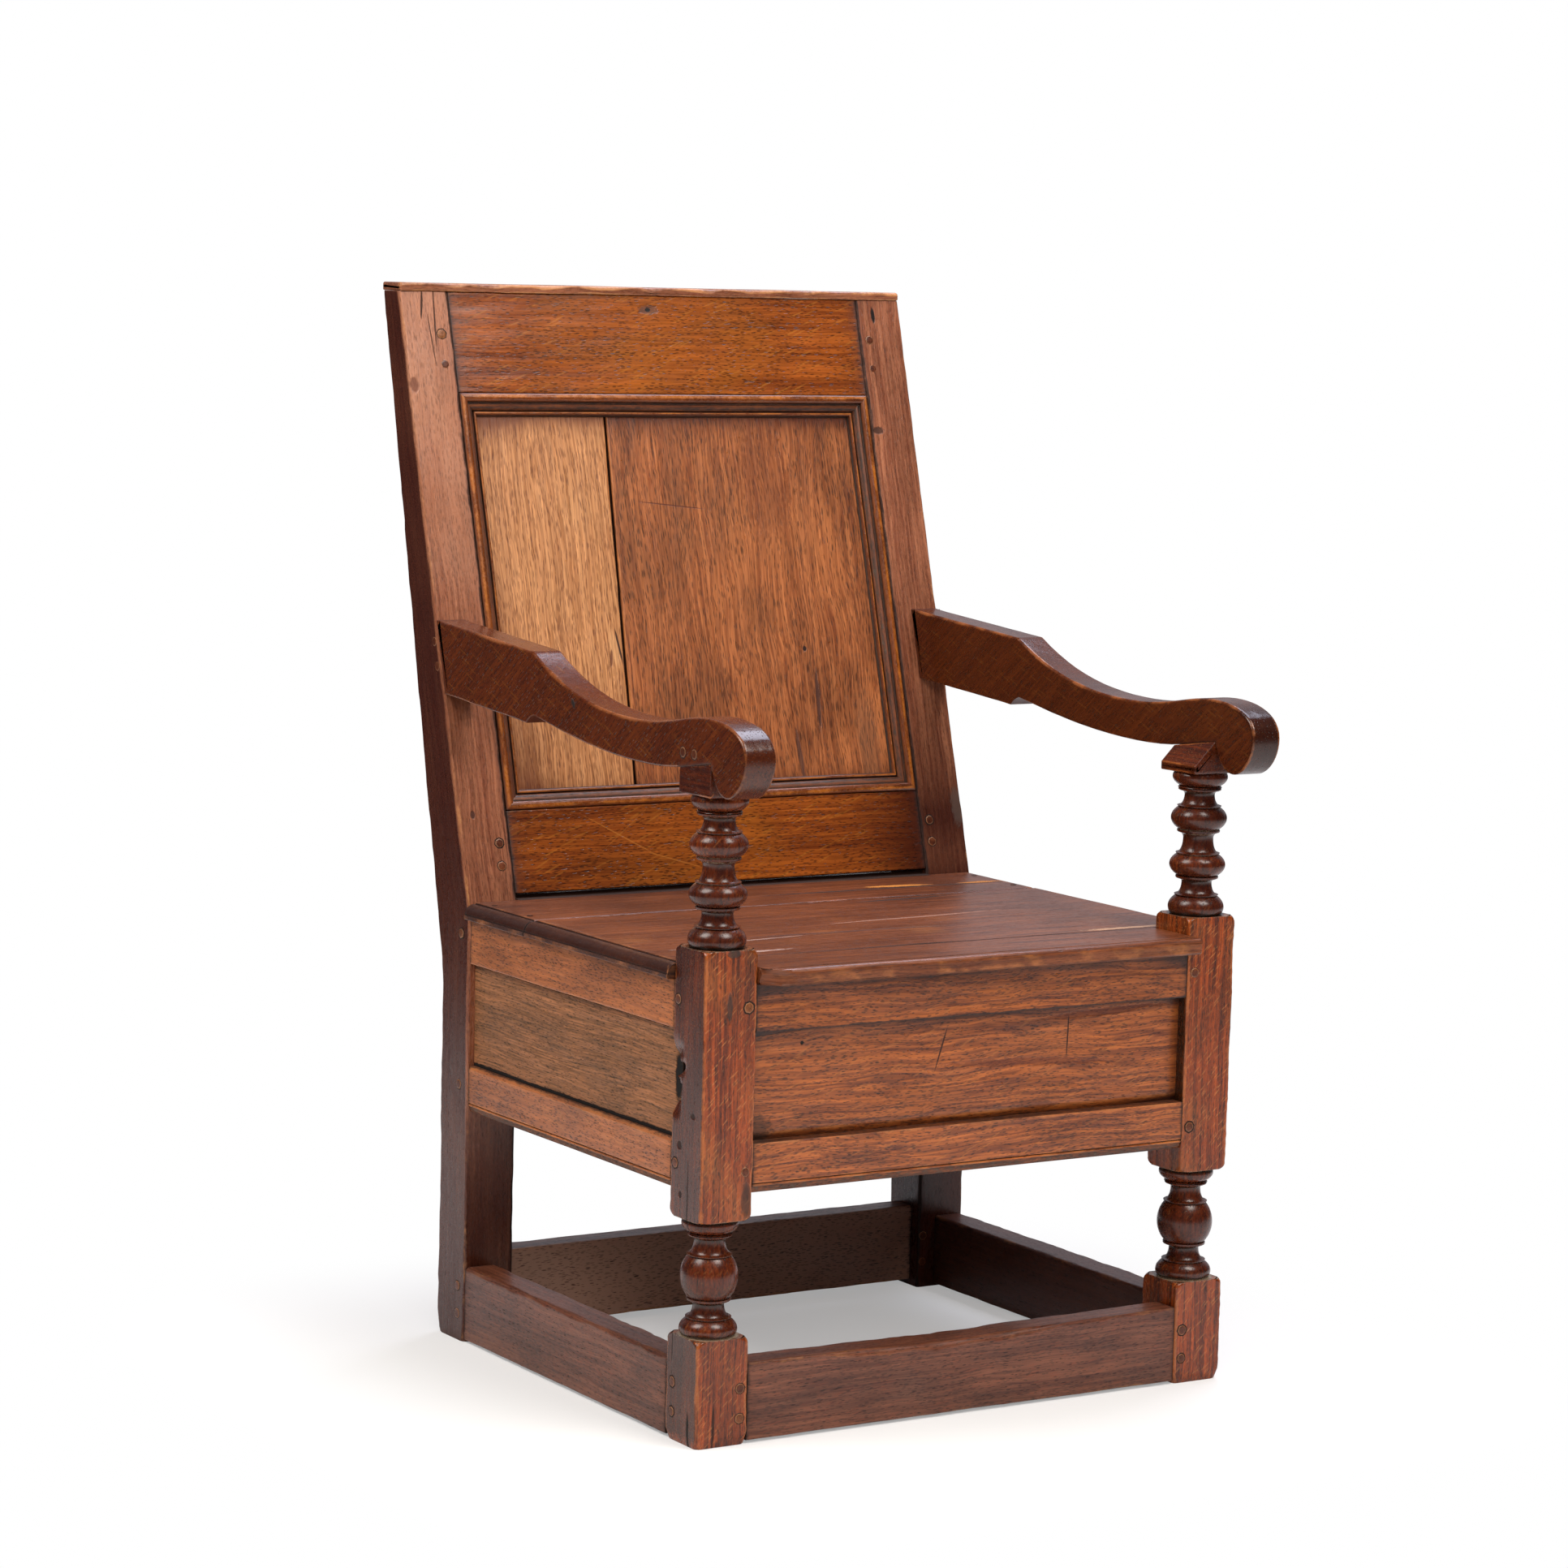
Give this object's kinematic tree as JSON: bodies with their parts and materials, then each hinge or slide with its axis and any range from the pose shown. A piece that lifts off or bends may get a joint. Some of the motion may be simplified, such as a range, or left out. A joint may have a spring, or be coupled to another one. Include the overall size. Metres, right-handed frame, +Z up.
{
  "type": "wainscot chair",
  "caption": "Joined oak armchair with a leaning panelled back, scrolled arms, turned front posts, floor stretchers and a box seat with a hinged lid.",
  "frame": {"origin": "on the floor, under the middle of the chair's overall box", "axes": "+Z up, +Y towards the back, so the sitter faces -Y; +X to the right as seen from in front"},
  "size_m": [0.61, 0.7224, 1.0455],
  "materials": {
    "frame_oak": "old oak, dark red-brown, waxed to a gloss",
    "golden_oak": "old oak, orange-brown, waxed",
    "side_rail_oak": "old oak, mid brown, lightly waxed",
    "drab_oak": "old oak, riven, dry and drab",
    "moulding_oak": "old oak, scratch-moulded, waxed",
    "pale_oak": "old oak, pale tan, waxed",
    "red_oak_tone": "old oak, red-brown, waxed",
    "seat_oak": "old oak, purplish brown, worn satin",
    "stretcher_oak": "old oak, dark and scuffed",
    "unpolished_oak": "old oak, sawn, bare",
    "peg_oak": "riven oak pegs, dark",
    "wrought_iron": "wrought iron, dark and dry"
  },
  "bodies": {
    "frame": {"rear_stile_left": "frame_oak", "rear_stile_right": "frame_oak", "back_top_rail": "golden_oak", "back_bottom_rail": "golden_oak", "back_board_left": "pale_oak", "back_board_right": "red_oak_tone", "back_moulding_top": "moulding_oak", "back_moulding_bottom": "moulding_oak", "back_moulding_left": "moulding_oak", "back_moulding_right": "moulding_oak", "cap_board": "golden_oak", "front_post_left": "frame_oak", "front_post_right": "frame_oak", "arm_left": "frame_oak", "arm_right": "frame_oak", "front_upper_rail": "golden_oak", "front_lower_rail": "golden_oak", "front_panel": "golden_oak", "side_upper_rail_left": "side_rail_oak", "side_upper_rail_right": "side_rail_oak", "side_lower_rail_left": "side_rail_oak", "side_lower_rail_right": "side_rail_oak", "side_panel_left": "drab_oak", "side_panel_right": "drab_oak", "rear_upper_rail": "unpolished_oak", "rear_lower_rail": "unpolished_oak", "rear_panel": "unpolished_oak", "stretcher_front": "stretcher_oak", "stretcher_rear": "stretcher_oak", "stretcher_left": "stretcher_oak", "stretcher_right": "stretcher_oak", "seat_back_strip": "seat_oak", "hinge_leaves_seat": "wrought_iron", "hinge_pins": "wrought_iron", "box_bottom_boards": "unpolished_oak", "bottom_bearer_front": "unpolished_oak", "bottom_bearer_rear": "unpolished_oak", "back_pegs": "peg_oak", "box_front_pegs": "peg_oak", "box_side_pegs": "peg_oak", "rear_rail_pegs": "peg_oak", "stretcher_pegs": "peg_oak", "arm_pegs": "peg_oak", "cap_nails": "wrought_iron", "moulding_nails": "wrought_iron", "strip_nails": "wrought_iron", "hinge_nails_seat": "wrought_iron", "box_nails": "wrought_iron"},
    "lid": {"lid_main_board": "seat_oak", "lid_front_board": "seat_oak", "lid_batten_left": "unpolished_oak", "lid_batten_right": "unpolished_oak", "hinge_leaves_lid": "wrought_iron", "lid_nails": "wrought_iron", "hinge_nails_lid": "wrought_iron"}
  },
  "joints": [
    {"name": "lid", "type": "hinge", "parent": "frame", "child": "lid", "pos_m": [0, 0.0288, 0.438], "axis": [-1, 0, 0], "range_deg": [0, 38]}
  ]
}
